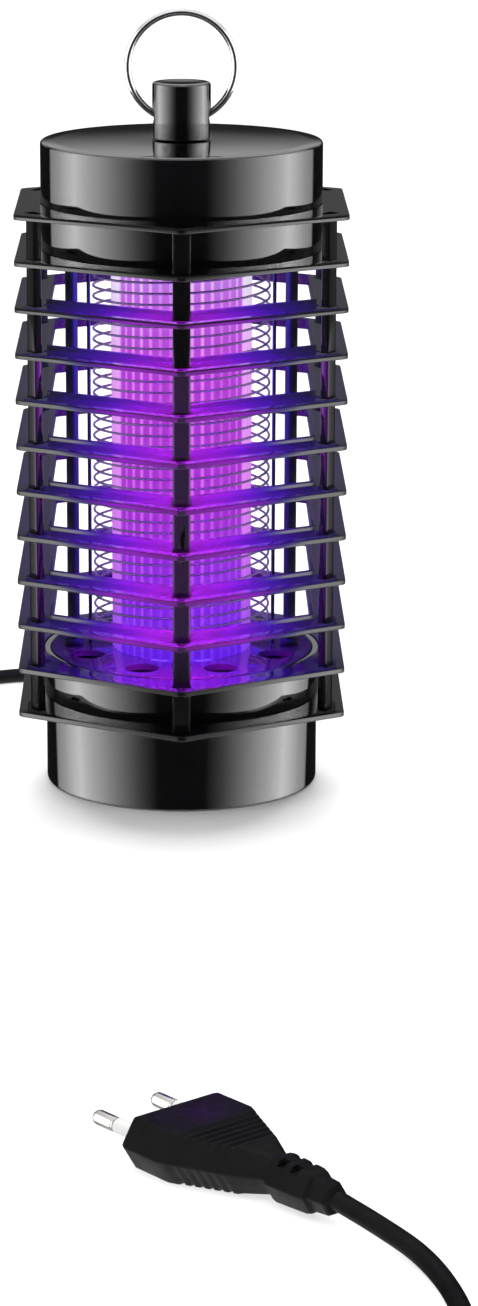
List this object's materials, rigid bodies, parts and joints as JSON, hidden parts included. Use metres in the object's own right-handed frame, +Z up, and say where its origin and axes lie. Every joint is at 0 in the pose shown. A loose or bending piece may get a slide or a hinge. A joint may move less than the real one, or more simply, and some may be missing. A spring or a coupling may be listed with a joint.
{
  "type": "electric bug zapper",
  "caption": "Hanging lantern insect killer with a hexagonal louvred cage, wound high-voltage grid, light tube, pull-off tray and mains lead.",
  "frame": {"origin": "middle of the base's underside", "axes": "+Z up, -Y front, where a corner of the hexagonal cage points; the cord leaves at +Y"},
  "size_m": [0.1558, 0.6783, 0.2508],
  "materials": {
    "gloss_black": "high gloss",
    "satin_black": "satin",
    "chrome": "polished",
    "wire_steel": "drawn wire",
    "frosted_tube": "frosted, translucent",
    "led_clear": "clear",
    "board_green": "solder mask",
    "capacitor_yellow": "moulded",
    "capacitor_red": "dipped",
    "fuse_glass": "clear",
    "cord_black": "matte",
    "nickel": "nickel plated",
    "sleeve_white": "moulded"
  },
  "bodies": {
    "root": {"hanger_post": "gloss_black", "top_cap": "gloss_black", "bottom_collar": "gloss_black", "louvre_ring_01": "gloss_black", "louvre_ring_02": "gloss_black", "louvre_ring_03": "gloss_black", "louvre_ring_04": "gloss_black", "louvre_ring_05": "gloss_black", "louvre_ring_06": "gloss_black", "louvre_ring_07": "gloss_black", "louvre_ring_08": "gloss_black", "louvre_ring_09": "gloss_black", "louvre_ring_10": "gloss_black", "louvre_ring_11": "gloss_black", "louvre_ring_12": "gloss_black", "cage_rib_1": "gloss_black", "cage_rib_2": "gloss_black", "cage_rib_3": "gloss_black", "cage_rib_4": "gloss_black", "cage_rib_5": "gloss_black", "cage_rib_6": "gloss_black", "top_deck": "satin_black", "bottom_deck": "satin_black", "grid_post_1": "satin_black", "grid_post_2": "satin_black", "grid_post_3": "satin_black", "grid_post_4": "satin_black", "grid_stay_1": "satin_black", "grid_stay_2": "satin_black", "grid_stay_3": "satin_black", "grid_stay_4": "satin_black", "hanger_screw": "wire_steel", "board_screw_1": "wire_steel", "board_screw_2": "wire_steel", "hv_winding_a": "wire_steel", "hv_winding_b": "wire_steel", "light_guide": "frosted_tube", "uv_led_1": "led_clear", "uv_led_2": "led_clear", "uv_led_3": "led_clear", "uv_led_4": "led_clear", "circuit_board": "board_green", "led_board": "board_green", "dropper_capacitor": "capacitor_yellow", "hv_capacitor_1": "capacitor_red", "hv_capacitor_2": "capacitor_red", "fuse": "fuse_glass", "power_cord": "cord_black", "strain_relief": "cord_black", "plug_body": "cord_black", "plug_pin_1": "nickel", "plug_pin_2": "nickel", "pin_sleeve_1": "sleeve_white", "pin_sleeve_2": "sleeve_white"},
    "hang_ring": {"hang_ring": "chrome"},
    "tray": {"insect_tray": "gloss_black"}
  },
  "joints": [
    {"name": "ring_swing", "type": "hinge", "parent": "root", "child": "hang_ring", "pos_m": [0, 0, 0.217], "axis": [1, 0, 0], "range_deg": [-97, 97]},
    {"name": "tray_pull", "type": "slide", "parent": "root", "child": "tray", "axis": [0, 0, 1], "range_m": [-0.045, 0]}
  ]
}
